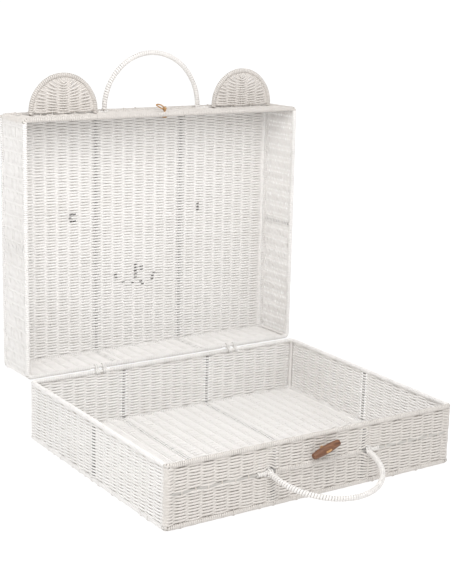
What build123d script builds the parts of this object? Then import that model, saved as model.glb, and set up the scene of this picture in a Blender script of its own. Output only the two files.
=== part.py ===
from build123d import *
from math import atan2, degrees, sqrt
import os

# Wicker storage trunk: two woven boxes hinged at the back, shown with the lid open.
# Millimetres. Origin at the centre of the base's underside, X across, -Y front, +Z up.

# Driving dimensions
WIDTH = 420.0            # outside width of both boxes
DEPTH = 336.0            # outside depth of both boxes
BASE_HEIGHT = 79.0
LID_HEIGHT = 71.0
LID_OPEN = 91.0          # opening angle at which the lashings are taut
RIM_GAP = 0.8            # gap between the two rims with the lid closed
WALL = 6.0               # thickness of the weave
WIRE_R = 2.0             # frame wire
CANE_R = 3.2             # outside radius of a cane-bound wire
CORNER_R = 4.0           # corner radius of the frame wire
POST_X = 66.5            # wall posts and panel rods, left and right of their middle
FRONT_SHIFT = 3.2        # front posts, handle and ears sit this far to the right
REAR_SHIFT = -5.5        # back posts and panel rods sit this far to the left
SLIP = 0.1               # radial clearance where one piece turns on another

HINGE_Y = DEPTH / 2 + 1  # axis of the lashings, just behind the rims
HINGE_Z = BASE_HEIGHT - 4.2
LASHING_X = 105.0        # centre of each lashing
COIL_W = 5.2             # width of one lashing coil
COIL_STEP = 5.6          # coil plus side clearance
COIL_R = 3.6
CORE_R = 1.0             # strand on which the coils turn
KNUCKLE_R = 2.0
NECK_IN, NECK_OUT = 0.9, 2.0             # a coil's neck, either side of the line to the hinge axis

BASE_BAR_Z = 42.0        # middle wire of the base, from its underside
LID_BAR_Z = 20.6         # middle wire of the lid, from its outer face
HANDLE_X = 72.5          # half width of a handle, and radius of its arch
HANDLE_LEG = 1.5         # straight leg between the wall and the arch
HANDLE_ROD_R = 2.4
HANDLE_R = 3.5           # handle with its cane wrap
BASE_HANDLE_DROOP = 13.0
FOOT_R = 4.6             # coil of the handle's foot round the middle wire
FOOT_END = 91.0          # outer end of the foot
POCKET = 5.9             # half height of the gap left in the weave at a foot

EAR_X = 138.0
EAR_Z = 32.0             # ear plane, from the lid's outer face
EAR_HALF = 46.0          # half width of an ear, and radius of its hoop
EAR_LEG = 2.5
EAR_R = 3.2
EAR_WIRE_R = 1.5
EAR_WEAVE = 4.4

TOGGLE_X, TOGGLE_Z = 4.2, 59.4
TOGGLE_LEN, TOGGLE_R, TOGGLE_END_R = 39.5, 5.3, 3.6
TOGGLE_TILT = 17.5
CORD_R = 1.1

LOOP_Z = 59.0            # root of the cord loop, from the lid's outer face
LOOP_LEN, LOOP_W = 18.0, 7.0
LOOP_LIFT = 14.0         # angle between the loop and the wall it lies on

FACE_X = 9.5             # the face sits a little to one side of the lid's centre

RING_X = WIDTH / 2 - CANE_R
RING_Y = DEPTH / 2 - CANE_R
FRONT = -DEPTH / 2 + CANE_R              # middle plane of the front wall
CORNER = CORNER_R * (1 - 1 / sqrt(2))    # corner post, in from the sharp corner
HANDLE_Y = FRONT                         # handles turn on the middle wire
OUT = -RING_Y - WALL / 2                 # outer face of the front wall

os.makedirs("parts", exist_ok=True)


def save(name, *shapes):
    """Writes one labelled piece, placed where it sits in the open trunk."""
    solids = [s for shape in shapes for s in shape.solids()]
    piece = Compound(children=solids) if len(solids) > 1 else solids[0]
    piece.label = name
    export_step(piece, f"parts/{name}.step")


def bar_x(radius, x0, x1, y, z):
    """Round bar along X."""
    with BuildPart() as bar:
        with Locations(Location(((x0 + x1) / 2, y, z), (0, 90, 0))):
            Cylinder(radius, x1 - x0)
    return bar.part


def bar_y(radius, x, y0, y1, z):
    """Round bar along Y."""
    with BuildPart() as bar:
        with Locations(Location((x, (y0 + y1) / 2, z), (90, 0, 0))):
            Cylinder(radius, y1 - y0)
    return bar.part


def bar_z(radius, x, y, z0, z1):
    """Round bar along Z."""
    with BuildPart() as bar:
        with Locations((x, y, (z0 + z1) / 2)):
            Cylinder(radius, z1 - z0)
    return bar.part


def slab(x0, x1, y0, y1, z0, z1):
    """Flat block between the given limits."""
    with BuildPart() as block:
        with Locations(((x0 + x1) / 2, (y0 + y1) / 2, (z0 + z1) / 2)):
            Box(x1 - x0, y1 - y0, z1 - z0)
    return block.part


def edge_ring(z, radius):
    """Round bar bent to the rounded rectangle of a box edge."""
    x, y = RING_X - CORNER_R, RING_Y - CORNER_R
    with BuildPart() as ring:
        with Locations((0, 0, z)):
            with Locations(Location((0, -RING_Y, 0), (0, 90, 0)), Location((0, RING_Y, 0), (0, 90, 0))):
                Cylinder(radius, 2 * x)
            with Locations(Location((-RING_X, 0, 0), (90, 0, 0)), Location((RING_X, 0, 0), (90, 0, 0))):
                Cylinder(radius, 2 * y)
            for turn, cx, cy in ((0, x, y), (90, -x, y), (180, -x, -y), (270, x, -y)):
                with Locations(Location((cx, cy, 0), (0, 0, turn))):
                    Torus(CORNER_R, radius, major_angle=90, align=Align.NONE)
    return ring.part


def mitre(sign):
    """Prism that takes the front (-1) or back (+1) run of a ring, cut at 45 degrees in the corners."""
    x, y = RING_X - CORNER, RING_Y - CORNER
    with BuildPart() as prism:
        with BuildSketch():
            with BuildLine():
                Polyline((-x - 20, sign * (y + 20)), (x + 20, sign * (y + 20)),
                         (x - 60, sign * (y - 60)), (-x + 60, sign * (y - 60)), close=True)
            make_face()
        extrude(amount=200, both=True)
    return prism.part


# ---------------------------------------------------------------- lashings
def coils(rim_z, hinge_z, bore):
    """Cane coils round a rim wire, each drawn out to a knuckle on the hinge axis.

    They take every second place of the row; the other box's coils fill the places between.
    """
    reach = Vector(HINGE_Y - RING_Y, hinge_z - rim_z)
    outwards = Vector(reach.Y, -reach.X).normalized()
    neck = reach * 0.5 + outwards * ((NECK_OUT - NECK_IN) / 2)
    lean = degrees(atan2(reach.Y, reach.X))
    row = []
    for centre in (-LASHING_X, LASHING_X):
        for place in (-2, 0):
            x0 = centre + place * COIL_STEP + (COIL_STEP - COIL_W) / 2
            with BuildPart() as coil:
                with BuildSketch(Plane(origin=(x0, RING_Y, rim_z), x_dir=(0, 1, 0), z_dir=(1, 0, 0))):
                    Circle(COIL_R)
                    with Locations(Location(neck, lean)):
                        Rectangle(reach.length, NECK_IN + NECK_OUT)
                    with Locations(reach):
                        Circle(KNUCKLE_R)
                    Circle(WIRE_R, mode=Mode.SUBTRACT)
                    with Locations(reach):
                        Circle(bore, mode=Mode.SUBTRACT)
                extrude(amount=COIL_W)
            row.append(coil.part)
    return row


def rim_gaps(rim_z):
    """Stretches of the back rim left free of binding for the two lashings."""
    half = 2 * COIL_STEP
    return [slab(x - half, x + half, RING_Y - 6, RING_Y + 6, rim_z - 4.6, rim_z + 6)
            for x in (-LASHING_X, LASHING_X)]


# ---------------------------------------------------------------- box frame
def handle_pockets(bar_z_mid, middle):
    """Openings left in the front weave where a handle's feet wind round the middle wire."""
    cuts = []
    for side in (-1, 1):
        x = sorted((middle + side * (HANDLE_X - HANDLE_R - 0.25), middle + side * (HANDLE_X + HANDLE_R + 0.25)))
        cuts.append(slab(*x, FRONT - 9, FRONT + 9, bar_z_mid - POCKET, bar_z_mid + POCKET))
        x = sorted((middle + side * HANDLE_X, middle + side * (FOOT_END + 0.4)))
        cuts.append(slab(*x, FRONT - 9, FRONT + 9, bar_z_mid - CANE_R - 0.4, bar_z_mid + CANE_R + 0.4))
    return cuts


def box_pieces(height, bar_height, turned=1):
    """All pieces of one woven box, standing on its closed side with the open side up.

    turned is -1 for a box that will be turned over left to right.
    """
    front_mid, rear_mid = turned * FRONT_SHIFT, turned * REAR_SHIFT
    rim_z, low_z = height - CANE_R, CANE_R
    posts_at = [(sx * (RING_X - CORNER), sy * (RING_Y - CORNER)) for sx in (-1, 1) for sy in (-1, 1)]
    rim_full, low_full = edge_ring(rim_z, CANE_R), edge_ring(low_z, CANE_R)
    rim_wire, low_wire = edge_ring(rim_z, WIRE_R), edge_ring(low_z, WIRE_R)
    pieces = {"rim_wire": rim_wire, "edge_wire": low_wire}

    # wires that stand in the four corners, and the cane wound round them
    corner_wires = [bar_z(WIRE_R, x, y, low_z, rim_z) - rim_wire - low_wire for x, y in posts_at]
    corner_full = [bar_z(CANE_R, x, y, low_z, rim_z) for x, y in posts_at]
    pieces["corner_posts"] = corner_wires
    pieces["corner_bindings"] = [full - bar_z(WIRE_R, x, y, low_z, rim_z) - rim_full - low_full
                                 for full, (x, y) in zip(corner_full, posts_at)]

    # middle wire of the front wall with its binding between the handle's feet
    bar_wire = bar_x(WIRE_R, -RING_X + CORNER, RING_X - CORNER, FRONT, bar_height)
    for full in corner_full:
        bar_wire = bar_wire - full
    pieces["front_bar"] = bar_wire
    bar_cane = bar_x(CANE_R, front_mid - POST_X + 2.3, front_mid + POST_X - 2.3, FRONT, bar_height)
    pieces["front_bar_binding"] = bar_cane - bar_wire

    # upright wires inside the walls
    uprights = []
    for x in (-POST_X, POST_X):
        uprights.append(bar_z(WIRE_R, front_mid + x, FRONT, low_z, rim_z) - rim_full - low_full - bar_wire)
        uprights.append(bar_z(WIRE_R, rear_mid + x, RING_Y, low_z, rim_z) - rim_full - low_full)
    for x in (-RING_X, RING_X):
        uprights.append(bar_z(WIRE_R, x, 0, low_z, rim_z) - rim_full - low_full)
    pieces["wall_posts"] = uprights

    # rods inside the large woven panel
    rods = [bar_y(WIRE_R, rear_mid + x, -RING_Y, RING_Y, WALL / 2) - low_full for x in (-POST_X, POST_X)]
    pieces["panel_rods"] = rods

    # bindings of the two rings, split at the corners
    for name, full, wire, z in (("rim", rim_full, rim_wire, rim_z), ("edge", low_full, low_wire, low_z)):
        cane = full - wire
        for x, y in posts_at:
            cane = cane - bar_z(WIRE_R, x, y, low_z, rim_z)
        front, back = cane & mitre(-1), cane & mitre(1)
        sides = cane - mitre(-1) - mitre(1)
        if name == "rim":
            pieces["rim_binding_front"] = front
            for gap in rim_gaps(z):
                back = back - gap
            pieces["rim_binding_back"] = back
        else:
            pieces["edge_binding_long"] = [front, back]
        pieces[f"{name}_binding_sides"] = sides

    # woven walls and panel, each as a slab as thick as its weave
    x_in, y_in = RING_X - CORNER - 2.95, RING_Y - CORNER - 2.95
    half = WALL / 2
    front = slab(-x_in, x_in, FRONT - half, FRONT + half, low_z, rim_z)
    back = slab(-x_in, x_in, RING_Y - half, RING_Y + half, low_z, rim_z)
    left = slab(-RING_X - half, -RING_X + half, -y_in, y_in, low_z, rim_z)
    right = slab(RING_X - half, RING_X + half, -y_in, y_in, low_z, rim_z)
    panel = slab(-RING_X + half, RING_X - half, -RING_Y + half, RING_Y - half, 0, WALL)
    walls = []
    for wall in (front, back, left, right, panel):
        for cut in [rim_full, low_full] + corner_full + uprights + rods:
            wall = wall - cut
        walls.append(wall)
    front, back, left, right, panel = walls
    for cut in [bar_cane, bar_wire] + handle_pockets(bar_height, front_mid):
        front = front - cut
    pieces.update(front_weave=front, back_weave=back, left_weave=left, right_weave=right, panel_weave=panel)
    return pieces


# ---------------------------------------------------------------- handles
def handle_pieces(bar_height, middle):
    """Arched rod with its cane wrap and the two feet that wind round the middle wire."""
    arch_y = OUT - HANDLE_LEG
    feet, cores = [], []
    for side in (-1, 1):
        x = sorted((side * (HANDLE_X - HANDLE_R), side * (HANDLE_X + HANDLE_R)))
        tail = sorted((side * (HANDLE_X + HANDLE_R), side * FOOT_END))
        bore = bar_x(WIRE_R + SLIP, -FOOT_END - 1, FOOT_END + 1, HANDLE_Y, bar_height)
        feet.append(bar_x(FOOT_R, *x, HANDLE_Y, bar_height)
                    + bar_x(CANE_R, *tail, HANDLE_Y, bar_height) - bore)
        cores.append(bar_x(FOOT_R, *x, HANDLE_Y, bar_height))
    arch = []
    for radius in (HANDLE_ROD_R, HANDLE_R):
        with BuildPart() as rod:
            with BuildLine(Plane.XY.offset(bar_height)) as path:
                Line((-HANDLE_X, HANDLE_Y), (-HANDLE_X, arch_y))
                CenterArc((0, arch_y), HANDLE_X, 180, 180)
                Line((HANDLE_X, arch_y), (HANDLE_X, HANDLE_Y))
            with BuildSketch(Plane(origin=(-HANDLE_X, HANDLE_Y, bar_height), z_dir=(0, -1, 0))):
                Circle(radius)
            sweep(path=path.wires()[0])
        arch.append(rod.part)
    core, wrap = arch[0], arch[1] - arch[0]
    for foot in cores:
        core, wrap = core - foot, wrap - foot
    place = Pos(middle, 0, 0)
    return core.moved(place), wrap.moved(place), [foot.moved(place) for foot in feet]


# ---------------------------------------------------------------- ears
def ear_pieces(middle):
    """Half-round ear: hoop wire, its cane binding and the woven filling."""
    hoop_y = OUT - EAR_LEG
    bars = []
    for radius in (EAR_WIRE_R, EAR_R):
        with BuildPart() as hoop:
            with BuildLine(Plane.XY.offset(EAR_Z)) as path:
                Line((middle - EAR_HALF, OUT), (middle - EAR_HALF, hoop_y))
                CenterArc((middle, hoop_y), EAR_HALF, 180, 180)
                Line((middle + EAR_HALF, hoop_y), (middle + EAR_HALF, OUT))
            with BuildSketch(Plane(origin=(middle - EAR_HALF, OUT, EAR_Z), z_dir=(0, -1, 0))):
                Circle(radius)
            sweep(path=path.wires()[0])
        bars.append(hoop.part)
    with BuildPart() as filling:
        with BuildSketch(Plane.XY.offset(EAR_Z)):
            with Locations((middle, OUT - EAR_LEG / 2)):
                Rectangle(2 * EAR_HALF, EAR_LEG)
            with Locations((middle, hoop_y)):
                Circle(EAR_HALF)
            with Locations((middle, OUT + EAR_HALF)):
                Rectangle(4 * EAR_HALF, 2 * EAR_HALF, mode=Mode.SUBTRACT)
        extrude(amount=EAR_WEAVE / 2, both=True)
    return bars[0], bars[1] - bars[0], filling.part - bars[1]


# ---------------------------------------------------------------- toggle
def toggle_pieces():
    """Spindle-shaped wooden toggle and the cord that holds it through the front weave."""
    y = OUT - 2.45 - TOGGLE_R
    with BuildPart() as spindle:
        with BuildSketch(Plane.XZ):
            with BuildLine():
                ThreePointArc((-TOGGLE_LEN / 2, TOGGLE_END_R), (0, TOGGLE_R), (TOGGLE_LEN / 2, TOGGLE_END_R))
                Polyline((TOGGLE_LEN / 2, TOGGLE_END_R), (TOGGLE_LEN / 2, 0), (-TOGGLE_LEN / 2, 0),
                         (-TOGGLE_LEN / 2, TOGGLE_END_R))
            make_face()
        revolve(axis=Axis.X)
        fillet(spindle.faces().filter_by(GeomType.PLANE).edges(), 1.6)
    wood = spindle.part.moved(Location((0, y, 0)))
    front_y, back_y = y - TOGGLE_R - 0.45, OUT - CORD_R - 0.15
    cord = (bar_y(CORD_R, -3, front_y, back_y, 0) + bar_y(CORD_R, 3, front_y, back_y, 0)
            + bar_x(CORD_R, -3, 3, front_y, 0) + bar_x(CORD_R, -3, 3, back_y, 0))
    with BuildPart() as ends:
        with Locations(*[(x, yy, 0) for x in (-3, 3) for yy in (front_y, back_y)]):
            Sphere(CORD_R)
    cord = cord + ends.part
    cord = cord + bar_y(1.9, 0, back_y, FRONT + WALL / 2 + 2.5, 0)
    cord = cord + bar_y(3.4, 0, FRONT + WALL / 2 + 0.2, FRONT + WALL / 2 + 3.2, 0)
    wood = wood - cord
    place = Location((TOGGLE_X, 0, TOGGLE_Z), (0, -TOGGLE_TILT, 0))
    return wood.moved(place), cord.moved(place)


# ---------------------------------------------------------------- cord loop
def loop_pieces():
    """Cord loop that buttons over the toggle, and the stitch it hangs in."""
    y = OUT - 3.0
    half = LOOP_W / 2
    with BuildPart() as loop:
        with BuildLine() as path:
            FilletPolyline((0, 0), (half, 0), (half, half - LOOP_LEN), radius=1.9)
            ThreePointArc((half, half - LOOP_LEN), (0, -LOOP_LEN), (-half, half - LOOP_LEN))
            FilletPolyline((-half, half - LOOP_LEN), (-half, 0), (0, 0), radius=1.9)
        with BuildSketch(Plane.YZ):
            Circle(CORD_R)
        sweep(path=path.wires()[0])
    cord = loop.part.moved(Location((0, y, LOOP_Z), (90 - LOOP_LIFT, 0, 0)))
    eye = bar_x(2.6, -1.3, 1.3, y, LOOP_Z) + bar_y(1.0, 0, y + 0.5, FRONT + WALL / 2 + 1.5, LOOP_Z)
    eye = eye + bar_y(3.0, 0, FRONT + WALL / 2, FRONT + WALL / 2 + 2.4, LOOP_Z)
    eye = eye - bar_x(CORD_R + SLIP, -2, 2, y, LOOP_Z)
    return cord, eye


# ---------------------------------------------------------------- stitched face
def stitches(pads, dashes):
    """Thread pads on the lid's outer face and the short dashes that show inside."""
    solids = []
    for x, y, w, d, turn in pads:
        with BuildPart() as pad:
            with BuildSketch(Plane.XY):
                with Locations(Location((FACE_X + x, y, 0), (0, 0, turn))):
                    Ellipse(w / 2, d / 2)
            extrude(amount=-0.9)
        solids.append(pad.part)
    for x, y in dashes:
        solids.append(slab(FACE_X + x - 2.2, FACE_X + x + 2.2, y - 0.6, y + 0.6, WALL, WALL + 0.7))
    return solids


# ---------------------------------------------------------------- base
base = box_pieces(BASE_HEIGHT, BASE_BAR_Z)
base_coils = coils(BASE_HEIGHT - CANE_R, HINGE_Z, CORE_R)
toggle, toggle_cord = toggle_pieces()
lashing_rows = [bar_x(KNUCKLE_R + 0.3, x - 2 * COIL_STEP, x + 2 * COIL_STEP, HINGE_Y, HINGE_Z)
                for x in (-LASHING_X, LASHING_X)]
for cut in base_coils + lashing_rows:
    base["back_weave"] = base["back_weave"] - cut
base["front_weave"] = base["front_weave"] - bar_y(1.9 + SLIP, TOGGLE_X, FRONT - 9, FRONT + 9, TOGGLE_Z)
for name, piece in base.items():
    save("base_" + name, *(piece if isinstance(piece, list) else [piece]))
save("hinge_base_coils", *base_coils)
save("hinge_cores", *[bar_x(CORE_R, x - 2 * COIL_STEP, x + 2 * COIL_STEP, HINGE_Y, HINGE_Z)
                      for x in (-LASHING_X, LASHING_X)])
save("toggle", toggle)
save("toggle_cord", toggle_cord)

droop = Pos(0, HANDLE_Y, BASE_BAR_Z) * Rot(BASE_HANDLE_DROOP, 0, 0) * Pos(0, -HANDLE_Y, -BASE_BAR_Z)
core, wrap, feet = handle_pieces(BASE_BAR_Z, FRONT_SHIFT)
save("base_handle_rod", core.moved(droop))
save("base_handle_wrap", wrap.moved(droop))
save("base_handle_feet", *[foot.moved(droop) for foot in feet])

# ---------------------------------------------------------------- lid
# The lid is the same kind of box turned over on top of the base, then opened on the lashings.
LID_TOP = BASE_HEIGHT + RIM_GAP + LID_HEIGHT
opened = (Pos(0, HINGE_Y, HINGE_Z) * Rot(-LID_OPEN, 0, 0) * Pos(0, -HINGE_Y, -HINGE_Z)
          * Pos(0, 0, LID_TOP) * Rot(0, 180, 0))


def save_on_lid(name, *shapes):
    """Writes a piece of the lid in its opened place."""
    save(name, *[shape.moved(opened) for shape in shapes])


lid = box_pieces(LID_HEIGHT, LID_BAR_Z, turned=-1)
lid_coils = coils(LID_HEIGHT - CANE_R, LID_TOP - HINGE_Z, CORE_R + SLIP)
loop, stitch = loop_pieces()
for cut in lid_coils:
    lid["back_weave"] = lid["back_weave"] - cut
lid["front_weave"] = lid["front_weave"] - stitch
for name, piece in lid.items():
    save_on_lid("lid_" + name, *(piece if isinstance(piece, list) else [piece]))
save_on_lid("hinge_lid_coils", *lid_coils)

core, wrap, feet = handle_pieces(LID_BAR_Z, -FRONT_SHIFT)
save_on_lid("lid_handle_rod", core)
save_on_lid("lid_handle_wrap", wrap)
save_on_lid("lid_handle_feet", *feet)

for name, side in (("left", 1), ("right", -1)):
    hoop, binding, filling = ear_pieces(side * EAR_X - FRONT_SHIFT)
    save_on_lid(f"{name}_ear_hoop", hoop)
    save_on_lid(f"{name}_ear_binding", binding)
    save_on_lid(f"{name}_ear_weave", filling)

save_on_lid("lid_loop", loop)
save_on_lid("lid_loop_stitch", stitch)

save_on_lid("face_eyes", *stitches([(-99.5, -25.5, 15, 20, 0), (99.5, -25.5, 15, 20, 0)],
                                   [(-98, -30), (-98, -25.7), (-98, -21.4), (102, -30), (103.5, -25.5),
                                    (102, -21), (97, -30), (97, -21)]))
save_on_lid("face_nose", *stitches([(0, 55, 22, 18, 0)],
                                   [(2.8, 47.5), (2.8, 51.9), (2.8, 56.3), (2.8, 60.7), (2.8, 65.5),
                                    (-7, 51), (-7, 55.4)]))
save_on_lid("face_mouth", *stitches([(-17, 68, 34, 3, 26), (17, 68, 34, 3, -26)],
                                    [(34, 58.5), (33, 62.8), (22, 70.5), (7, 73), (-6, 72), (-9, 76),
                                     (-27.6, 62), (-25, 66.2), (-24.5, 70.4)]))
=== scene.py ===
import bpy
import math
import numpy as np
from mathutils import Matrix, Vector


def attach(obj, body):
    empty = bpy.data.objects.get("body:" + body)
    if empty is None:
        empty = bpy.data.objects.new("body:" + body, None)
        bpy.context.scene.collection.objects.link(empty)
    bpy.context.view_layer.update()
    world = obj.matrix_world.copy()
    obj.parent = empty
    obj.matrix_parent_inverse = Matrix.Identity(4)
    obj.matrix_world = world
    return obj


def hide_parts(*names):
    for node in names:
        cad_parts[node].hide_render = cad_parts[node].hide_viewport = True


# Wicker storage trunk, open. Lengths in this script are millimetres until a mesh is made.
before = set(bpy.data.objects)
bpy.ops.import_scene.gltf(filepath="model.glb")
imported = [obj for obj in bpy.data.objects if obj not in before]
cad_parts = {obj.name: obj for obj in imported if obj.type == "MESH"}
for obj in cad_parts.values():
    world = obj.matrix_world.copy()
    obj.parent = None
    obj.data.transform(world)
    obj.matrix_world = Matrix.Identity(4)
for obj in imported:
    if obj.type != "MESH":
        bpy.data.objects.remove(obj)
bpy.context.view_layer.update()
rng = np.random.default_rng(11)

# ------------------------------------------------------------------ sizes, as in the CAD
BASE_H, LID_H = 79.0, 71.0
RX, RY, CR = 206.8, 164.8, 4.0           # frame wire ring: half width, half depth, corner radius
EDGE = 3.2                               # outside radius of a cane-bound wire
POST_X = 66.5
FRONT_SHIFT, REAR_SHIFT = 3.2, -5.5      # middle of the front posts and of the back posts and rods
BASE_BAR, LID_BAR = 42.0, 20.6           # middle wire of the front walls
HINGE = (169.0, 74.8)
LID_OPEN, BASE_DROOP = 91.0, 13.0
LASHING_X, COIL_STEP = 105.0, 5.6
LID_TOP = 150.8
OUT = -167.8                             # outer face of the front wall
HANDLE_X, HANDLE_LEG = 72.5, 1.5
EAR_X, EAR_Z, EAR_HALF, EAR_LEG = 138.0, 32.0, 46.0, 2.5
FACE_X = 9.5                             # the face sits a little to one side of the middle
STRAND = 1.90                            # pitch of the woven rows
ROW_THICK, ROW_WIDE = 0.64, 1.12         # half sizes of a row between two stakes
ROW_PRESSED = 0.6                        # added to its half width where it passes over a stake
WAVE = 1.35                              # swing of a row to either side of the stakes
STAKE_THICK, STAKE_WIDE = 0.7, 0.9       # half sizes of a stake or rib
CANE_THICK = 0.45                        # half thickness of the flat cane in a winding
PER_TURN = 12                            # points to one turn of a winding

# windings: radius of the cane, half its width, and radius of the dark core under it, which is painted shade
# for the gaps between turns
EDGE_WINDING = (2.7, 1.3, 2.35)
RIM_WINDING = (2.7, 1.25, 2.35)
BAR_WINDING = (2.55, 1.25, 2.2)
HANDLE_WINDING = (3.05, 1.57, 2.7)

# where a strand lies in the fibre noise: noise lengths to a millimetre, and how far strands are apart
FIBRE_RUN, FIBRE_APART = 0.05, 900

BASE = Matrix.Identity(4)
LID = (Matrix.Translation((0, HINGE[0], HINGE[1])) @ Matrix.Rotation(math.radians(-LID_OPEN), 4, "X")
       @ Matrix.Translation((0, -HINGE[0], -HINGE[1])) @ Matrix.Translation((0, 0, LID_TOP))
       @ Matrix.Rotation(math.pi, 4, "Y"))
DROOP = (Matrix.Translation((0, -RY, BASE_BAR)) @ Matrix.Rotation(math.radians(BASE_DROOP), 4, "X")
         @ Matrix.Translation((0, RY, -BASE_BAR)))


# ------------------------------------------------------------------ mesh making
def per_point(value, strands, points):
    """One value, one to a strand, or one to a strand and point, as an array (strands, points)."""
    value = np.asarray(value, float)
    if value.ndim == 1:
        value = value[:, None]
    return np.broadcast_to(value, (strands, points))


class Mesh:
    """Collects tubes, then becomes one object. Each point keeps where it lies along its strand.

    The front, the ears and the handles carry painted shade: their colour is darkened where they face the
    front.
    """

    def __init__(self, front_shade_weight=1.0):
        self.v, self.f, self.fibre, self.tone, self.front_shade = [], [], [], [], []
        self.front_shade_weight = front_shade_weight
        self.n = 0

    def tubes(self, path, normal, a, b, sides=6, tone=None, closed=False):
        """Strands along path (strands, points, 3), half thickness a along normal and b across it."""
        path = np.asarray(path, float)
        if path.ndim == 2:
            path = path[None]
        s, n, _ = path.shape
        normal = np.broadcast_to(np.asarray(normal, float), path.shape)
        if closed:
            t = np.roll(path, -1, 1) - np.roll(path, 1, 1)
        else:
            t = np.gradient(path, axis=1)
        t /= np.linalg.norm(t, axis=2, keepdims=True) + 1e-9
        nn = normal - (normal * t).sum(2, keepdims=True) * t
        nn /= np.linalg.norm(nn, axis=2, keepdims=True) + 1e-9
        bb = np.cross(t, nn)
        a, b = per_point(a, s, n), per_point(b, s, n)
        ang = np.arange(sides) * 2 * math.pi / sides + math.pi / sides
        c, d = np.cos(ang), np.sin(ang)
        v = (path[:, :, None] + a[:, :, None, None] * c[None, None, :, None] * nn[:, :, None]
             + b[:, :, None, None] * d[None, None, :, None] * bb[:, :, None])
        run = np.linalg.norm(np.diff(path, axis=1), axis=2).cumsum(1)
        run = np.concatenate([np.zeros((s, 1)), run], 1)
        ident = rng.random(s) * FIBRE_APART
        if tone is None:
            tone = rng.random(s)
        tone = np.broadcast_to(np.asarray(tone, float), (s,))
        fib = np.empty((s, n, sides, 3))
        fib[..., 0] = (run * FIBRE_RUN + ident[:, None])[:, :, None]
        fib[..., 1] = c * 0.9
        fib[..., 2] = d * 0.9
        base = self.n + (np.arange(s) * n * sides)[:, None, None]
        rings = n if closed else n - 1
        i = np.arange(rings)[None, :, None]
        j = np.arange(sides)[None, None, :]
        i2, j2 = (i + 1) % n, (j + 1) % sides
        q = np.stack([base + i * sides + j, base + i2 * sides + j,
                      base + i2 * sides + j2, base + i * sides + j2], -1)
        self.f.append(q[..., ::-1].reshape(-1, 4))
        if not closed:
            k = np.arange(sides // 2 - 1)
            cap = np.stack([k, k + 1, sides - 2 - k, sides - 1 - k], -1)
            self.f.append((base + cap).reshape(-1, 4))
            self.f.append((base + (n - 1) * sides + cap[:, ::-1]).reshape(-1, 4))
        self.v.append(v.reshape(-1, 3))
        self.fibre.append(fib.reshape(-1, 3))
        self.tone.append(np.repeat(tone, n * sides))
        # painted shade: points on the front face are marked for a darker colour
        on_front = np.clip((-path[..., 1] - RY + 4) / 2, 0, 1)
        self.front_shade.append(np.repeat(self.front_shade_weight * on_front.ravel(), sides))
        self.n += s * n * sides

    def build(self, name, place, material, body, replaces=(), slot=None):
        v = np.concatenate(self.v)
        f = np.concatenate(self.f).astype(np.int32)
        m = np.array(place)
        v = (v @ m[:3, :3].T + m[:3, 3]) * 0.001
        me = bpy.data.meshes.new(name)
        me.vertices.add(len(v))
        me.vertices.foreach_set("co", v.astype(np.float32).ravel())
        me.loops.add(f.size)
        me.loops.foreach_set("vertex_index", f.ravel())
        me.polygons.add(len(f))
        me.polygons.foreach_set("loop_start", np.arange(0, f.size, 4, dtype=np.int32))
        me.polygons.foreach_set("use_smooth", np.ones(len(f), bool))
        me.update(calc_edges=True)
        me.validate()
        at = me.attributes.new("fibre", "FLOAT_VECTOR", "POINT")
        at.data.foreach_set("vector", np.concatenate(self.fibre).astype(np.float32).ravel())
        for key, values in (("tone", self.tone), ("front_shade", self.front_shade)):
            at = me.attributes.new(key, "FLOAT", "POINT")
            at.data.foreach_set("value", np.concatenate(values).astype(np.float32))
        ob = bpy.data.objects.new(name, me)
        bpy.context.collection.objects.link(ob)
        me.materials.append(material)
        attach(ob, body)
        if replaces:
            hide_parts(*replaces)
        print("piece", name, "faces", len(f))
        return ob


def waves(count, low, high):
    """A smooth random function of one or two coordinates, about -1 to 1."""
    k = rng.uniform(low, high, (count, 2)) * rng.choice([-1, 1], (count, 2))
    p = rng.uniform(0, 2 * math.pi, count)

    def at(x, y=0.0):
        x, y = np.broadcast_arrays(np.asarray(x, float), np.asarray(y, float))
        return np.sin(x[..., None] * k[:, 0] + y[..., None] * k[:, 1] + p).sum(-1) / math.sqrt(count)
    return at


# ------------------------------------------------------------------ materials
def attribute(nt, name):
    node = nt.nodes.new("ShaderNodeAttribute")
    node.attribute_name = name
    return node


def noise(nt, vector, **values):
    """A noise texture over a vector, with the given socket values."""
    node = nt.nodes.new("ShaderNodeTexNoise")
    for socket, value in values.items():
        node.inputs[socket].default_value = value
    nt.links.new(vector, node.inputs["Vector"])
    return node.outputs["Fac"]


def multiply_add(nt, value, factor, plus):
    node = nt.nodes.new("ShaderNodeMath")
    node.operation = "MULTIPLY_ADD"
    node.inputs[1].default_value = factor
    nt.links.new(value, node.inputs[0])
    nt.links.new(plus, node.inputs[2])
    return node.outputs[0]


def ramp(nt, fac, stops):
    """Colour ramp through its stops, each a position and a colour."""
    node = nt.nodes.new("ShaderNodeValToRGB")
    els = node.color_ramp.elements
    els[0].position, els[0].color = stops[0][0], (*stops[0][1], 1)
    els[1].position, els[1].color = stops[-1][0], (*stops[-1][1], 1)
    for position, colour in stops[1:-1]:
        els.new(position).color = (*colour, 1)
    nt.links.new(fac, node.inputs["Fac"])
    return node.outputs["Color"]


def relief(nt, bsdf, height, low, high, strength, depth):
    """Roughness from low to high, and a bump, that both follow a noise."""
    spread = nt.nodes.new("ShaderNodeMapRange")
    spread.inputs["To Min"].default_value = low
    spread.inputs["To Max"].default_value = high
    nt.links.new(height, spread.inputs["Value"])
    nt.links.new(spread.outputs["Result"], bsdf.inputs["Roughness"])
    bump = nt.nodes.new("ShaderNodeBump")
    bump.inputs["Strength"].default_value = strength
    bump.inputs["Distance"].default_value = depth
    nt.links.new(height, bump.inputs["Height"])
    nt.links.new(bump.outputs["Normal"], bsdf.inputs["Normal"])


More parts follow.
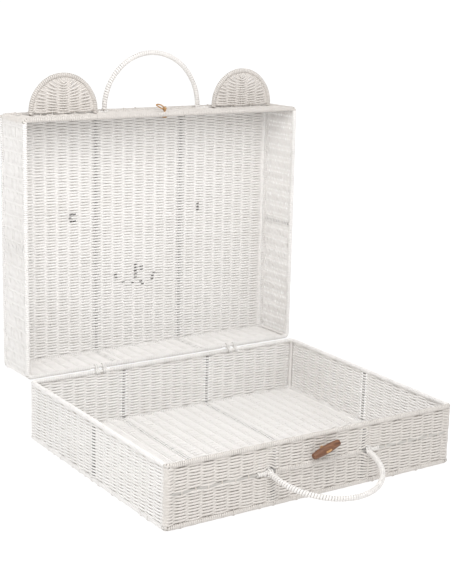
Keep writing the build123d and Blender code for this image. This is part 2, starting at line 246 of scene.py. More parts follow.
def cane_material(name, light, dark, rough, hollow_shade=0.25):
    """Painted round cane: paint over fibre streaks, with painted shade that darkens and greys the hollows of
    the weave.
    """
    m = bpy.data.materials.new(name)
    m.use_nodes = True
    nt = m.node_tree
    nt.nodes.clear()
    out = nt.nodes.new("ShaderNodeOutputMaterial")
    bsdf = nt.nodes.new("ShaderNodeBsdfPrincipled")
    coord = nt.nodes.new("ShaderNodeTexCoord")
    streak = noise(nt, attribute(nt, "fibre").outputs["Vector"], Scale=5.0, Detail=4.0, Roughness=0.6)
    patch = noise(nt, coord.outputs["Object"], Scale=14.0, Detail=3.0)
    strand = multiply_add(nt, attribute(nt, "tone").outputs["Fac"], 0.35, patch)
    paint = ramp(nt, multiply_add(nt, streak, 0.55, strand), [(0.45, dark), (0.95, light)])
    # painted shade: ambient occlusion darkens and greys the colour in the hollows of the weave, standing in
    # for the shade there
    ao = nt.nodes.new("ShaderNodeAmbientOcclusion")
    ao.inputs["Distance"].default_value = 0.0022
    ao.samples = 6
    hollow_shade_tint = (1 - hollow_shade, 1 - hollow_shade * 1.08, 1 - hollow_shade * 1.2)
    hollow = ramp(nt, ao.outputs["AO"], [(0.12, hollow_shade_tint), (0.6, (1, 1, 1))])
    mul = nt.nodes.new("ShaderNodeMix")
    mul.data_type, mul.blend_type = "RGBA", "MULTIPLY"
    mul.inputs["Factor"].default_value = 1.0
    nt.links.new(paint, mul.inputs["A"])
    nt.links.new(hollow, mul.inputs["B"])
    # painted shade: the colour is darkened towards (0.76, 0.735, 0.71) on the front-facing side
    front_shade_mix = nt.nodes.new("ShaderNodeMix")
    front_shade_mix.data_type, front_shade_mix.blend_type = "RGBA", "MULTIPLY"
    front_shade_mix.inputs["B"].default_value = (0.76, 0.735, 0.71, 1)
    nt.links.new(attribute(nt, "front_shade").outputs["Fac"], front_shade_mix.inputs["Factor"])
    nt.links.new(mul.outputs["Result"], front_shade_mix.inputs["A"])
    nt.links.new(front_shade_mix.outputs["Result"], bsdf.inputs["Base Color"])
    relief(nt, bsdf, streak, rough - 0.1, rough + 0.12, 0.35, 0.0003)
    bsdf.inputs["Specular IOR Level"].default_value = 0.35
    nt.links.new(bsdf.outputs["BSDF"], out.inputs["Surface"])
    return m


def grain_material(name, stops, scale, stretch, rough, bump_mm, coat=0.0):
    """Wood, cord or wire: a noise stretched along one axis of the object."""
    m = bpy.data.materials.new(name)
    m.use_nodes = True
    nt = m.node_tree
    bsdf = nt.nodes["Principled BSDF"]
    coord = nt.nodes.new("ShaderNodeTexCoord")
    mapping = nt.nodes.new("ShaderNodeMapping")
    mapping.inputs["Scale"].default_value = stretch
    nt.links.new(coord.outputs["Object"], mapping.inputs["Vector"])
    grain = noise(nt, mapping.outputs["Vector"], Scale=scale, Detail=6.0, Roughness=0.65, Distortion=0.4)
    places = [0.3 + 0.4 * i / (len(stops) - 1) for i in range(len(stops))]
    nt.links.new(ramp(nt, grain, list(zip(places, stops))), bsdf.inputs["Base Color"])
    relief(nt, bsdf, grain, rough - 0.08, rough + 0.1, 0.5, bump_mm / 1000)
    bsdf.inputs["Coat Weight"].default_value = coat
    return m


# the last number of each cane material sets how strong its painted shade in the hollows is
WHITE = cane_material("painted_cane", (0.875, 0.855, 0.835), (0.82, 0.795, 0.77), 0.55, hollow_shade=0.03)
WRAP = cane_material("painted_binding", (0.84, 0.82, 0.80), (0.74, 0.715, 0.69), 0.5, hollow_shade=0.08)
STAKE = cane_material("painted_stake", (0.83, 0.80, 0.765), (0.68, 0.61, 0.54), 0.6, hollow_shade=0.08)
# painted shade: a dark core under each winding, seen as shade in the gaps between its turns
GAP_SHADE = cane_material("gap_shade_binding", (0.52, 0.49, 0.45), (0.17, 0.155, 0.14), 0.7)
# painted shade: the middle wire is coloured grey so the slot along it reads as a dark line of shade
SHADED_BAR = cane_material("middle_wire_shade", (0.52, 0.50, 0.47), (0.34, 0.32, 0.30), 0.6)
# painted shade: the frame posts and rods are coloured dark grey so the gaps between the rows over them show
# as dark dots
WIRE_SHADE = grain_material("painted_wire", [(0.17, 0.165, 0.16), (0.28, 0.27, 0.26), (0.44, 0.43, 0.41)],
                      90, (1, 1, 1), 0.5, 0.1)
BARE = grain_material("bare_rattan", [(0.50, 0.38, 0.24), (0.62, 0.49, 0.32), (0.70, 0.58, 0.41)],
                      60, (1, 1, 8), 0.6, 0.2)
TOGGLE = grain_material("toggle_wood",
                        [(0.085, 0.032, 0.014), (0.155, 0.062, 0.027), (0.25, 0.115, 0.055)],
                        70, (0.7, 6, 6), 0.5, 0.25, coat=0.08)
CORD = grain_material("waxed_cord", [(0.30, 0.15, 0.055), (0.46, 0.26, 0.11), (0.60, 0.38, 0.19)],
                      900, (1, 1, 1), 0.65, 0.25)
YARN = grain_material("yarn", [(0.020, 0.018, 0.018), (0.045, 0.04, 0.04), (0.09, 0.08, 0.08)],
                      1200, (1, 1, 1), 0.85, 0.3)


# ------------------------------------------------------------------ the ring that every box edge follows
ARC = math.pi / 2 * CR
FX, FY = 2 * (RX - CR), 2 * (RY - CR)
LENGTH = 2 * FX + 2 * FY + 4 * ARC
SIDE_AT = [0.0, FX + ARC, FX + FY + 2 * ARC, 2 * FX + FY + 3 * ARC, LENGTH]


def ring(s):
    """Point (x, y) and outward normal at length s round the ring, from the front left corner."""
    s = np.mod(np.asarray(s, float), LENGTH)
    x, y = np.zeros_like(s), np.zeros_like(s)
    nx, ny = np.zeros_like(s), np.zeros_like(s)
    for k in range(4):
        run = FX if k % 2 == 0 else FY
        a, b = (RX, RY) if k % 2 == 0 else (RY, RX)
        u = s - SIDE_AT[k]
        here = (s >= SIDE_AT[k]) & (s < SIDE_AT[k + 1])
        h = ARC / 2
        lx, ly = np.zeros_like(s), np.zeros_like(s)
        lnx, lny = np.zeros_like(s), np.zeros_like(s)
        st = (u >= h) & (u <= h + run)
        lx = np.where(st, u - h - run / 2, lx)
        ly = np.where(st, -b, ly)
        lny = np.where(st, -1.0, lny)
        for before, cx, ang in ((True, -(a - CR), -math.pi / 4 * (1 - u / h)),
                                (False, a - CR, math.pi / 4 * (u - h - run) / h)):
            sel = (u < h) if before else (u > h + run)
            lx = np.where(sel, cx + CR * np.sin(ang), lx)
            ly = np.where(sel, -(b - CR) - CR * np.cos(ang), ly)
            lnx = np.where(sel, np.sin(ang), lnx)
            lny = np.where(sel, -np.cos(ang), lny)
        c, d = [(1, 0), (0, 1), (-1, 0), (0, -1)][k]
        x = np.where(here, lx * c - ly * d, x)
        y = np.where(here, lx * d + ly * c, y)
        nx = np.where(here, lnx * c - lny * d, nx)
        ny = np.where(here, lnx * d + lny * c, ny)
    return x, y, nx, ny


def front_s(x):
    return ARC / 2 + x + RX - CR


def back_s(x):
    return SIDE_AT[2] + ARC / 2 + RX - CR - x


def smooth(v):
    """Eases a value between 0 and 1 in and out."""
    return v * v * (3 - 2 * v)


def stake_plan(turned):
    """Where stakes and frame posts stand round a box; turned is -1 for the lid, which is flipped over."""
    front, rear = turned * FRONT_SHIFT, turned * REAR_SHIFT
    keys = [(0.0, 8), (front_s(front - POST_X), 8), (front_s(front + POST_X), 8), (SIDE_AT[1], 10),
            (SIDE_AT[1] + ARC / 2 + FY / 2, 10), (SIDE_AT[2], 8), (back_s(rear + POST_X), 8),
            (back_s(rear - POST_X), 8), (SIDE_AT[3], 10), (SIDE_AT[3] + ARC / 2 + FY / 2, 10), (LENGTH, 0)]
    stakes = np.concatenate([np.linspace(a[0], b[0], a[1], endpoint=False) for a, b in zip(keys, keys[1:])])
    return stakes, [k[0] for k in keys[:-1]]


def panel_plan(turned):
    """Ribs of the large panel, and the two of them that are frame rods."""
    rods = sorted(turned * REAR_SHIFT + x for x in (-POST_X, POST_X))
    ends = [8, 8, 9] if turned > 0 else [9, 8, 8]
    stops = [-RX] + rods + [RX]
    ribs = [np.linspace(a, b, n, endpoint=False) for a, b, n in zip(stops, stops[1:], ends)]
    return np.concatenate(ribs + [[RX]]), rods


def squeeze(x, middle):
    """How far the front rows keep from the middle wire; they make room for the handle's feet."""
    ax = np.abs(x - middle)
    foot = np.clip((ax - 65) / 5, 0, 1) * np.clip((95 - ax) / 5, 0, 1)
    rod = np.clip((ax - 65) / 4, 0, 1) * np.clip((80 - ax) / 4, 0, 1)
    return 1.25 + 2.75 * smooth(foot) + 2.0 * smooth(rod)


def wall_weave(height, bar, turned):
    """Woven wall of one box: rows round all four sides, over and under the upright stakes."""
    mesh = Mesh()
    stakes, wires = stake_plan(turned)
    low, high = 7.1, height - 7.1
    rows = int(round((high - low) / STRAND)) + 1
    zs = np.linspace(low, high, rows)
    # sample points: four to a bay, eight in the bays that turn a corner
    edges = np.append(stakes, LENGTH)
    s = []
    for a, b in zip(edges, edges[1:]):
        near = any(abs(a - c) < 1 or abs(b - c) < 1 for c in SIDE_AT)
        s.append(np.linspace(a, b, 9 if near else 5)[:-1])
    s = np.concatenate(s)
    phase = np.interp(s, edges, np.arange(len(edges)))
    x, y, nx, ny = ring(s)
    to_corner = np.min([np.abs(s - c) for c in SIDE_AT], axis=0)
    corner = smooth(np.clip(1 - to_corner / 9, 0, 1))
    to_wire = np.min([np.abs(s - c) for c in wires], axis=0)
    post = np.exp(-(to_wire / 7) ** 2)
    amp = WAVE + 1.05 * post
    front = (np.abs(y + RY) < 4) & (np.abs(x) < RX - 2)
    front = front * np.clip((RX - 4 - np.abs(x)) / 12, 0, 1)
    wob, wob2 = waves(7, 0.01, 0.05), waves(6, 0.15, 0.4)
    gap = squeeze(x, turned * FRONT_SHIFT)
    paths = np.empty((rows, len(s), 3))
    for r, z in enumerate(zs):
        wave = amp * np.cos(math.pi * (phase + r))
        off = wave * (1 - corner) + 2.3 * corner
        off = off + 0.14 * wob2(s * 0.5, r * 3.0)
        zz = z + 0.3 * wob(s, z) + 0.12 * wob2(s * 0.3, r * 7.0)
        if z > bar:
            room = high + 1.0 - bar
            mapped = bar + gap + (zz - bar) * (room - gap) / room
        else:
            room = bar - low + 1.0
            mapped = bar - gap - (bar - zz) * (room - gap) / room
        zz = zz * (1 - front) + mapped * front
        # the two rows that meet over the middle wire lie outside it
        over = front * np.clip(2.2 - np.abs(zz - bar), 0, 1)
        off = off * (1 - over) + (2.45 + 0.15 * wave) * over
        zz = np.clip(zz, 6.3, height - 6.3)
        paths[r] = np.stack([x + nx * off, y + ny * off, zz], -1)
    normal = np.broadcast_to(np.stack([nx, ny, 0 * nx], -1), paths.shape)
    # a strand is pressed flat where it passes over a stake
    flat = np.cos(math.pi * phase) ** 2 * (1 - 0.7 * post) * (1 - corner)
    wide = (ROW_WIDE + ROW_PRESSED * flat) * rng.uniform(0.93, 1.05, (rows, 1))
    mesh.tubes(paths, normal, ROW_THICK * rng.uniform(0.94, 1.05, rows), wide, closed=True)
    return mesh


def wall_stakes(height, bar, turned):
    """Upright stakes between the frame posts. On the front they step out over the middle wire."""
    mesh = Mesh()
    stakes, wires = stake_plan(turned)
    zs = np.linspace(4.5, height - 4.5, 22)
    for i, s in enumerate(stakes):
        if min(abs(s - w) for w in wires) < 2:
            continue
        x, y, nx, ny = ring(s)
        bend = np.zeros_like(zs)
        if y < -RY + 2:
            bend = 2.2 * np.exp(-((zs - bar) / 3.4) ** 2)
        lean = rng.normal(0, 0.3, 3)
        tx, ty = -ny, nx
        drift = lean[0] + lean[1] * (zs / height - 0.5) + 0.2 * np.sin(zs / 9 + lean[2] * 9)
        path = np.stack([x + nx * bend + tx * drift, y + ny * bend + ty * drift, zs], -1)
        mesh.tubes(path, (nx, ny, 0), STAKE_THICK, STAKE_WIDE, tone=0.25 + 0.6 * (i % 2))
    return mesh


def panel_weave(lift, turned):
    """Rows of the floor or of the lid's large panel, woven over ribs that run front to back."""
    mesh = Mesh()
    ribs, rods = panel_plan(turned)
    y0, y1 = -RY + 4.1, RY - 4.1
    rows = int(round((y1 - y0) / STRAND)) + 1
    ys = np.linspace(y0, y1, rows)
    x = np.concatenate([np.linspace(a, b, 5)[:-1] for a, b in zip(ribs, ribs[1:])] + [[RX]])
    phase = np.interp(x, ribs, np.arange(len(ribs)))
    keep = np.abs(x) < RX - 2.0
    x, phase = x[keep], phase[keep]
    to_rod = np.min([np.abs(x - r) for r in rods], axis=0)
    rod = np.exp(-(to_rod / 7) ** 2)
    amp = WAVE + 0.95 * rod
    edge = np.clip((RX - 4 - np.abs(x)) / 10, 0, 1)
    wob, fine = waves(9, 0.008, 0.04), waves(6, 0.12, 0.35)
    paths = np.empty((rows, len(x), 3))
    for r, y in enumerate(ys):
        z = lift + amp * (0.25 + 0.75 * edge) * np.cos(math.pi * (phase + r))
        z = z + 0.12 * fine(x * 0.5, r * 5.0)
        yy = y + 0.5 * wob(x, y) * min(1, (RY - abs(y)) / 30) + 0.12 * fine(x * 0.35, r * 9.0)
        paths[r] = np.stack([x, yy, z], -1)
    flat = np.cos(math.pi * phase) ** 2 * (1 - 0.45 * rod)
    wide = (ROW_WIDE + ROW_PRESSED * flat) * rng.uniform(0.93, 1.05, (rows, 1))
    mesh.tubes(paths, (0, 0, 1), ROW_THICK * rng.uniform(0.93, 1.05, rows), wide)
    return mesh


def panel_ribs(lift, turned):
    mesh = Mesh()
    ribs, rods = panel_plan(turned)
    ys = np.linspace(-RY + 2, RY - 2, 60)
    for i, x in enumerate(ribs[1:-1]):
        if min(abs(x - r) for r in rods) < 2:
            continue
        lean = rng.normal(0, 0.4, 2)
        xx = x + lean[0] + 0.5 * np.sin(ys / 60 + lean[1] * 6)
        path = np.stack([xx, ys, np.full_like(ys, lift)], -1)
        mesh.tubes(path, (0, 0, 1), STAKE_THICK, STAKE_WIDE, tone=0.25 + 0.6 * (i % 2))
    return mesh


def winding(mesh, centre, n1, n2, radius, pitch, width, loose):
    """Flat cane wound round a line: centre (points, 3) with two unit normals, finely sampled."""
    step = np.linalg.norm(np.diff(centre, axis=0), axis=1)
    run = np.concatenate([[0], step.cumsum()])
    total = run[-1]
    turns = max(2, int(round(total / pitch)))
    u = np.linspace(0, 1, turns * PER_TURN + 1) * total
    w = waves(6, 0.02 * 2 / pitch, 0.25 * 2 / pitch)
    angle = 2 * math.pi * turns * u / total + loose * w(u) * np.sin(math.pi * u / total) ** 0.3
    p = np.stack([np.interp(u, run, centre[:, i]) for i in range(3)], -1)
    a = np.stack([np.interp(u, run, n1[:, i]) for i in range(3)], -1)
    b = np.stack([np.interp(u, run, n2[:, i]) for i in range(3)], -1)
    rad = a * np.cos(angle)[:, None] + b * np.sin(angle)[:, None]
    r = radius + 0.10 * waves(5, 0.1, 0.6)(u)
    mesh.tubes(p + rad * r[:, None], rad, CANE_THICK, width)


def ring_line(s0, s1, z):
    s = np.linspace(s0, s1, max(3, int(abs(s1 - s0) / 1.5)))
    x, y, nx, ny = ring(s)
    centre = np.stack([x, y, np.full_like(x, z)], -1)
    n1 = np.stack([nx, ny, 0 * nx], -1)
    n2 = np.broadcast_to(np.array([0.0, 0, 1]), centre.shape)
    return centre, n1, n2


def straight_line(x, y, z):
    """Centre line along X with its two normals."""
    centre = np.stack([x, np.full_like(x, y), np.full_like(x, z)], -1)
    n1 = np.broadcast_to(np.array([0, -1.0, 0]), centre.shape)
    n2 = np.broadcast_to(np.array([0, 0, 1.0]), centre.shape)
    return centre, n1, n2


def line_binding(mesh, under, line, radius, width, core):
    """A winding, and the dark core under it: painted shade that shows where its turns stand apart."""
    centre, n1, n2 = line
    winding(mesh, centre, n1, n2, radius, 2 * width + 0.08, width, loose=0.8)
    under.tubes(centre[::2], n1[::2], core, core, sides=10)


def edge_knots(mesh, turned):
    """Ends of the stakes, tucked round the closed edge."""
    turn = np.linspace(0, 2 * math.pi, 14, endpoint=False)
    for s in stake_plan(turned)[0]:
        if rng.random() < 0.45:
            continue
        x, y, nx, ny = ring(s + rng.normal(0, 1.2))
        out = np.array([nx, ny, 0.0])
        lean = rng.normal(0, 0.35)
        spoke = np.cos(turn)[:, None] * out + np.sin(turn)[:, None] * np.array([0, 0, 1.0])
        shift = np.outer(np.sin(turn + rng.random() * 6) * lean, np.array([-ny, nx, 0.0]))
        path = np.array([x, y, EDGE]) + (3.25 + rng.uniform(0, 0.35)) * spoke + shift
        mesh.tubes(path, spoke, 0.5, rng.uniform(0.7, 1.0), closed=True)


# ------------------------------------------------------------------ both boxes
def box(prefix, height, bar, place, turned, lift):
    b = prefix + "_"
    wall_weave(height, bar, turned).build(
        b + "walls", place, WHITE, prefix,
        [b + "front_weave", b + "back_weave", b + "left_weave", b + "right_weave", b + "corner_bindings"],
        "painted_cane")
    wall_stakes(height, bar, turned).build(b + "wall_stakes", place, STAKE, prefix, slot="painted_cane")
    panel_weave(lift, turned).build(b + "panel", place, WHITE, prefix, [b + "panel_weave"], "painted_cane")
    panel_ribs(lift, turned).build(b + "panel_ribs", place, STAKE, prefix, slot="painted_cane")
    # closed edge
    mesh, under = Mesh(), Mesh()
    line_binding(mesh, under, ring_line(0, LENGTH, EDGE), *EDGE_WINDING)
    edge_knots(mesh, turned)
    mesh.build(b + "edge_binding", place, WRAP, prefix,
               [b + "edge_binding_long", b + "edge_binding_sides"], "painted_cane")
    # open rim, with the two stretches of the back left to the lashings
    mesh = Mesh()
    z = height - EDGE
    half = 2 * COIL_STEP + 0.4
    stops = [back_s(LASHING_X) - half, back_s(LASHING_X) + half,
             back_s(-LASHING_X) - half, back_s(-LASHING_X) + half]
    line_binding(mesh, under, ring_line(stops[3], stops[0] + LENGTH, z), *RIM_WINDING)
    line_binding(mesh, under, ring_line(stops[1], stops[2], z), *RIM_WINDING)
    mesh.build(b + "rim_binding", place, WRAP, prefix,
               [b + "rim_binding_front", b + "rim_binding_back", b + "rim_binding_sides"], "painted_cane")
    # middle wire between the handle's feet
    mesh = Mesh()
    x = turned * FRONT_SHIFT + np.linspace(3 - POST_X, POST_X - 3, 90)
    line_binding(mesh, under, straight_line(x, -RY, bar), *BAR_WINDING)
    mesh.build(b + "bar_binding", place, WRAP, prefix, [b + "front_bar_binding"], "painted_cane")
    under.build(b + "gap_shade_bindings", place, GAP_SHADE, prefix, slot="painted_cane")


box("base", BASE_H, BASE_BAR, BASE, 1, 3.2)
box("lid", LID_H, LID_BAR, LID, -1, 3.1)


# ------------------------------------------------------------------ handles and ears
def hoop_line(middle, start, foot, radius, z, count):
    """Straight legs from y = start to y = foot, joined by a half circle; with its two normals."""
    u = np.linspace(0, math.pi, count)
    arch = np.stack([-radius * np.cos(u), foot - radius * np.sin(u)], -1)
    lead = np.stack([np.full(6, -radius), np.linspace(start, foot, 6, endpoint=False)], -1)
    flat = np.concatenate([lead, arch, lead[::-1] * [-1, 1]])
    line = np.stack([flat[:, 0] + middle, flat[:, 1], np.full(len(flat), z)], -1)
    t = np.gradient(line, axis=0)
    t /= np.linalg.norm(t, axis=1, keepdims=True)
    n2 = np.broadcast_to(np.array([0, 0, 1.0]), line.shape)
    return line, np.cross(t, n2), n2


def handle(prefix, bar, place, turned):
    middle = turned * FRONT_SHIFT
    line, n1, n2 = hoop_line(middle, -RY - 3.4, OUT - HANDLE_LEG, HANDLE_X, bar, 160)
    # the handle's winding takes a smaller share of the painted shade on the front
    mesh, under = Mesh(0.3), Mesh(0.3)
    line_binding(mesh, under, (line, n1, n2), *HANDLE_WINDING)
    mesh.build(prefix + "_handle", place, WRAP, prefix + "_handle", [prefix + "_handle_wrap"], "painted_cane")
    under.build(prefix + "_handle_gap_shade", place, GAP_SHADE, prefix + "_handle", slot="painted_cane")
    # the handle's feet take a smaller share of the painted shade on the front
    mesh = Mesh(0.4)
    for side in (-1, 1):
        for x0, x1, r in ((HANDLE_X - 3, HANDLE_X + 3, 4.1), (HANDLE_X - 2.5, 90.4, 2.75)):
            x = middle + side * np.linspace(x0, x1, 40)
            winding(mesh, *straight_line(x, -RY, bar), r, 2.6, 1.25, loose=0.15)
    mesh.build(prefix + "_handle_ends", place, WRAP, prefix + "_handle",
               [prefix + "_handle_feet"], "painted_cane")


handle("base", BASE_BAR, DROOP, 1)
handle("lid", LID_BAR, LID, -1)


def ear(name, side):
    cx = side * EAR_X - FRONT_SHIFT
    line, n1, n2 = hoop_line(cx, OUT + 1, OUT - EAR_LEG, EAR_HALF, EAR_Z, 120)
    mesh, under = Mesh(), Mesh()
    line_binding(mesh, under, (line, n1, n2), *EDGE_WINDING)
    mesh.build(name + "_ear_rim", LID, WRAP, "lid", [name + "_ear_binding"], "painted_cane")
    under.build(name + "_ear_gap_shade", LID, GAP_SHADE, "lid", slot="painted_cane")
    # strands run level near the wall and spread to the hoop near the top
    mesh = Mesh()
    rib_step, count = 16.0, 26
    total = EAR_HALF + EAR_LEG
    for k in range(count):
        h = 1.0 + k * (total - 9) / (count - 1)
        t0 = math.pi / 2 * min(0.985, (h / (total - 6)) ** 1.35 + 0.02)
        xe, he = EAR_HALF * math.cos(t0), EAR_LEG - 1 + EAR_HALF * math.sin(t0)
        x = np.linspace(-1, 1, 45) * xe
        sag = np.abs(x / xe) ** 1.7
        y = h + (he - h) * sag + 0.25 * math.sin(k * 2.3) * np.cos(x / 9 + k)
        phase = x / rib_step + 2
        fade = np.clip((xe - np.abs(x)) / 8, 0, 1)
        z = 1.15 * np.cos(math.pi * (phase + k)) * fade
        path = np.stack([cx + x, OUT - y, EAR_Z + z], -1)
        mesh.tubes(path, (0, 0, 1), 0.75, 1.08 + 0.55 * sag[None])
    for x in rib_step * np.arange(-2, 3):
        top = EAR_LEG + EAR_HALF * math.sqrt(max(0, 1 - (x / EAR_HALF) ** 2))
        yy = np.linspace(-2, top, 24)
        path = np.stack([np.full_like(yy, cx + x), OUT - yy, np.full_like(yy, EAR_Z)], -1)
        mesh.tubes(path, (0, 0, 1), 0.8, 0.8)
    mesh.build(name + "_ear_filling", LID, WHITE, "lid", [name + "_ear_weave"], "painted_cane")


ear("left", 1)
ear("right", -1)


# ------------------------------------------------------------------ lashings
def neck_loop(rim_z, hinge_z, outer, inner):
    """Narrow loop from the rim wire round the hinge strand, as (y, z) points and normals."""
    start, end = np.array([RY, rim_z]), np.array([HINGE[0], hinge_z])
    along = end - start
    length = np.linalg.norm(along)
    along = along / length
    out = np.array([along[1], -along[0]])
    turn = np.linspace(math.pi / 2, -math.pi / 2, 14)
    knuckle = [(length + outer * math.cos(a), outer * math.sin(a)) for a in turn]
    shape = np.array([(0.0, outer), (length * 0.5, outer)] + knuckle
                     + [(length - 2.0, -inner), (length * 0.4, -inner), (0.0, -inner)])
    points = start + shape[:, :1] * along + shape[:, 1:] * out
    side = np.where(shape[:, 1] > 0, 1.0, -1.0)[:, None] * out
    fan = np.clip(shape[:, :1] - length, 0, None) * along
    normal = side + fan
    return points, normal / np.linalg.norm(normal, axis=1, keepdims=True)


def lashing(name, rim_z, hinge_z, place, body, node):
    mesh = Mesh()
    turn = np.linspace(0, 2 * math.pi, 24, endpoint=False)
    round_n = np.stack([np.cos(turn), np.sin(turn)], -1)
    round_p = np.array([RY, rim_z]) + 3.2 * round_n
    neck_p, neck_n = neck_loop(rim_z, hinge_z, 1.55, 0.5)
    for centre in (-LASHING_X, LASHING_X):
        for place_no in (-2, 0):
            x0 = centre + place_no * COIL_STEP + 0.2
            for j in range(2):
                x = x0 + 1.35 + j * 2.5
                for pts, nrm in ((round_p, round_n), (neck_p, neck_n)):
                    path = np.stack([np.full(len(pts), x), pts[:, 0], pts[:, 1]], -1)
                    normal = np.stack([np.zeros(len(pts)), nrm[:, 0], nrm[:, 1]], -1)
                    mesh.tubes(path, normal, 0.4, 1.18, closed=True)
            # short packing between the wire and the coil
            x = np.linspace(x0 + 0.3, x0 + 4.9, 4)
            mesh.tubes(straight_line(x, RY, rim_z)[0], (0, 0, 1), 2.9, 2.9, sides=12, tone=0.6)
    mesh.build(name, place, WRAP, body, [node], "painted_cane")


lashing("base_lashings", BASE_H - EDGE, HINGE[1], BASE, "base", "hinge_base_coils")
lashing("lid_lashings", LID_H - EDGE, LID_TOP - HINGE[1], LID, "lid", "hinge_lid_coils")


# ------------------------------------------------------------------ cord loop
def cord_loop():
    """Twisted cord loop that hangs from its stitch, a little off the wall."""
    half, length, hang = 3.5, 18.0, math.radians(76)
    corner = [(0, 0), (1.2, 0), (2.5, -0.4), (3.3, -1.6), (half, -3.6)]
    leg = [(half, -v) for v in np.linspace(5, length - half, 8)]
    arc = [(half * math.cos(a), half - length - half * math.sin(a))
           for a in np.linspace(0.15, math.pi - 0.15, 16)]
    pts = np.array(corner + leg + arc + [(-a, b) for a, b in reversed(corner[1:] + leg)])
    line = np.stack([pts[:, 0], OUT - 3.0 + pts[:, 1] * math.cos(hang),
                     59.0 + pts[:, 1] * math.sin(hang)], -1)
    # even, smooth and closed
    n = len(line)
    k = np.linspace(0, n, 160, endpoint=False)
    i = k.astype(int) % n
    f = (k - k.astype(int))[:, None]
    line = line[i] * (1 - f) + line[(i + 1) % n] * f
    for _ in range(3):
        line = (np.roll(line, 1, 0) + 2 * line + np.roll(line, -1, 0)) / 4
    t = np.roll(line, -1, 0) - np.roll(line, 1, 0)
    t /= np.linalg.norm(t, axis=1, keepdims=True)
    n1 = np.broadcast_to(np.array([0, -math.sin(hang), math.cos(hang)]), line.shape)
    n2 = np.cross(t, n1)
    mesh = Mesh()
    twist = np.linspace(0, 2 * math.pi * 9, len(line), endpoint=False)
    for start in (0, math.pi):
        off = np.cos(twist + start)[:, None] * n1 + np.sin(twist + start)[:, None] * n2
        mesh.tubes(line + 0.48 * off, off, 0.6, 0.6, closed=True)
    mesh.build("cord_loop", LID, CORD, "lid_loop", ["lid_loop"], "cord")


cord_loop()


# ------------------------------------------------------------------ stitched face
def face():
    """Yarn pads on the outer face of the lid and the few stitches that show inside.

    A pad is its middle (x, y), width, depth and turn in degrees. A stitch is its middle.
    """
    parts = {
        "face_eyes": ([(-99.5, -25.5, 15, 20, 0), (99.5, -25.5, 15, 20, 0)],
                      [(-98, -30), (-98, -25.7), (-98, -21.4), (102, -30), (103.5, -25.5),
                       (102, -21), (97, -30), (97, -21)]),
        "face_nose": ([(0, 55, 22, 18, 0)],
                      [(2.8, 47.5), (2.8, 51.9), (2.8, 56.3), (2.8, 60.7), (2.8, 65.5),
                       (-7, 51), (-7, 55.4)]),
        "face_mouth": ([(-17, 68, 34, 3, 26), (17, 68, 34, 3, -26)],
                       [(34, 58.5), (33, 62.8), (22, 70.5), (7, 73), (-6, 72), (-9, 76),
                        (-27.6, 62), (-25, 66.2), (-24.5, 70.4)])}
    for name, (pads, dashes) in parts.items():
        mesh = Mesh()
        for x, y, w, d, turn in pads:
            c, s = math.cos(math.radians(turn)), math.sin(math.radians(turn))
            rows = max(2, int(d / 1.15))
            for k in range(rows):
                v = -d / 2 + d * (k + 0.5) / rows
                e = w / 2 * math.sqrt(max(0.05, 1 - (2 * v / d) ** 2)) * rng.uniform(0.93, 1.03)
                u = np.linspace(-e, e, 12)
                vv = v + 0.2 * np.sin(u * 0.5 + k)
                path = np.stack([FACE_X + x + u * c - vv * s, y + u * s + vv * c,
                                 -0.35 + 0.55 * (np.abs(u) / e) ** 6], -1)
                mesh.tubes(path, (0, 0, 1), 0.5, 0.6)
        for x, y in dashes:
            v = np.linspace(-2.2, 2.2, 8) * rng.uniform(0.75, 1.05)
            path = np.stack([FACE_X + x + v, y + 0.12 * v, 6.0 - 0.1 * v * v], -1)
            mesh.tubes(path, (0, 0, 1), 0.35, 0.62)
        mesh.build(name + "_yarn", LID, YARN, "lid", [name], "thread")


face()

# ------------------------------------------------------------------ carried-over CAD pieces
for name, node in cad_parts.items():
    if name == "toggle":
        material = TOGGLE
    elif name in ("toggle_cord", "lid_loop_stitch"):
        material = CORD
    elif name.endswith("handle_rod"):
        material = BARE
    # posts, rods and the middle wire get the darker colours that stand in for the shade in the gaps around
    # them
    elif name.endswith(("wall_posts", "panel_rods")):
        material = WIRE_SHADE
    elif name.endswith("front_bar"):
        material = SHADED_BAR
    else:
        material = WRAP
    node.data.materials.clear()
    node.data.materials.append(material)

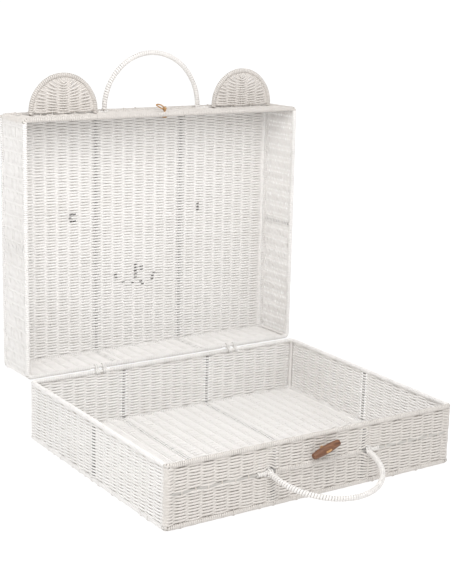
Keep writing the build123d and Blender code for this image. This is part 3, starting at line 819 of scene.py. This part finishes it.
# ------------------------------------------------------------------ floor, light and camera
bpy.ops.mesh.primitive_plane_add(size=240, location=(0, 0, -0.0005))
floor = bpy.context.object
floor.name = "floor"
fm = bpy.data.materials.new("pale_floor")
fm.use_nodes = True
fb = fm.node_tree.nodes["Principled BSDF"]
fb.inputs["Base Color"].default_value = (0.3, 0.3, 0.3, 1)
fb.inputs["Emission Color"].default_value = (1, 1, 1, 1)
fb.inputs["Emission Strength"].default_value = 0.78
fb.inputs["Roughness"].default_value = 0.9
floor.data.materials.append(fm)

world = bpy.data.worlds.new("studio")
bpy.context.scene.world = world
world.use_nodes = True
world.node_tree.nodes["Background"].inputs["Color"].default_value = (1, 1, 1, 1)
world.node_tree.nodes["Background"].inputs["Strength"].default_value = 0.8


def area(name, place, target, size, power):
    light = bpy.data.lights.new(name, "AREA")
    light.energy, light.size = power, size
    ob = bpy.data.objects.new(name, light)
    bpy.context.collection.objects.link(ob)
    ob.location = place
    ob.rotation_euler = (Vector(target) - Vector(place)).to_track_quat("-Z", "Y").to_euler()


area("key", (-2.3, -0.35, 1.5), (0, 0.1, 0.2), 1.6, 3)
area("top", (0.2, 0.0, 3.2), (0, 0.1, 0.1), 2.4, 12)
area("inside", (-0.35, -0.55, 0.85), (0.05, 0.2, 0.15), 0.7, 5.5)

scene = bpy.context.scene
scene.view_settings.view_transform = "Standard"
cam_data = bpy.data.cameras.new("camera")
cam = bpy.data.objects.new("camera", cam_data)
bpy.context.collection.objects.link(cam)
scene.camera = cam
az, el, roll = math.radians(-34.37), math.radians(14.21), math.radians(1.83)
dist = 1.4616
target = Vector((-0.1109, -0.1270, 0.2507))
back = Vector((math.sin(az) * math.cos(el), -math.cos(az) * math.cos(el), math.sin(el)))
right = (-back).cross(Vector((0, 0, 1))).normalized()
up = right.cross(-back)
r2 = math.cos(roll) * right + math.sin(roll) * up
u2 = -math.sin(roll) * right + math.cos(roll) * up
rot = Matrix((r2, u2, back)).transposed().to_4x4()
cam.matrix_world = Matrix.Translation(target + back * dist) @ rot
cam_data.sensor_width = 36
cam_data.lens = 81.277
cam_data.clip_end = 300
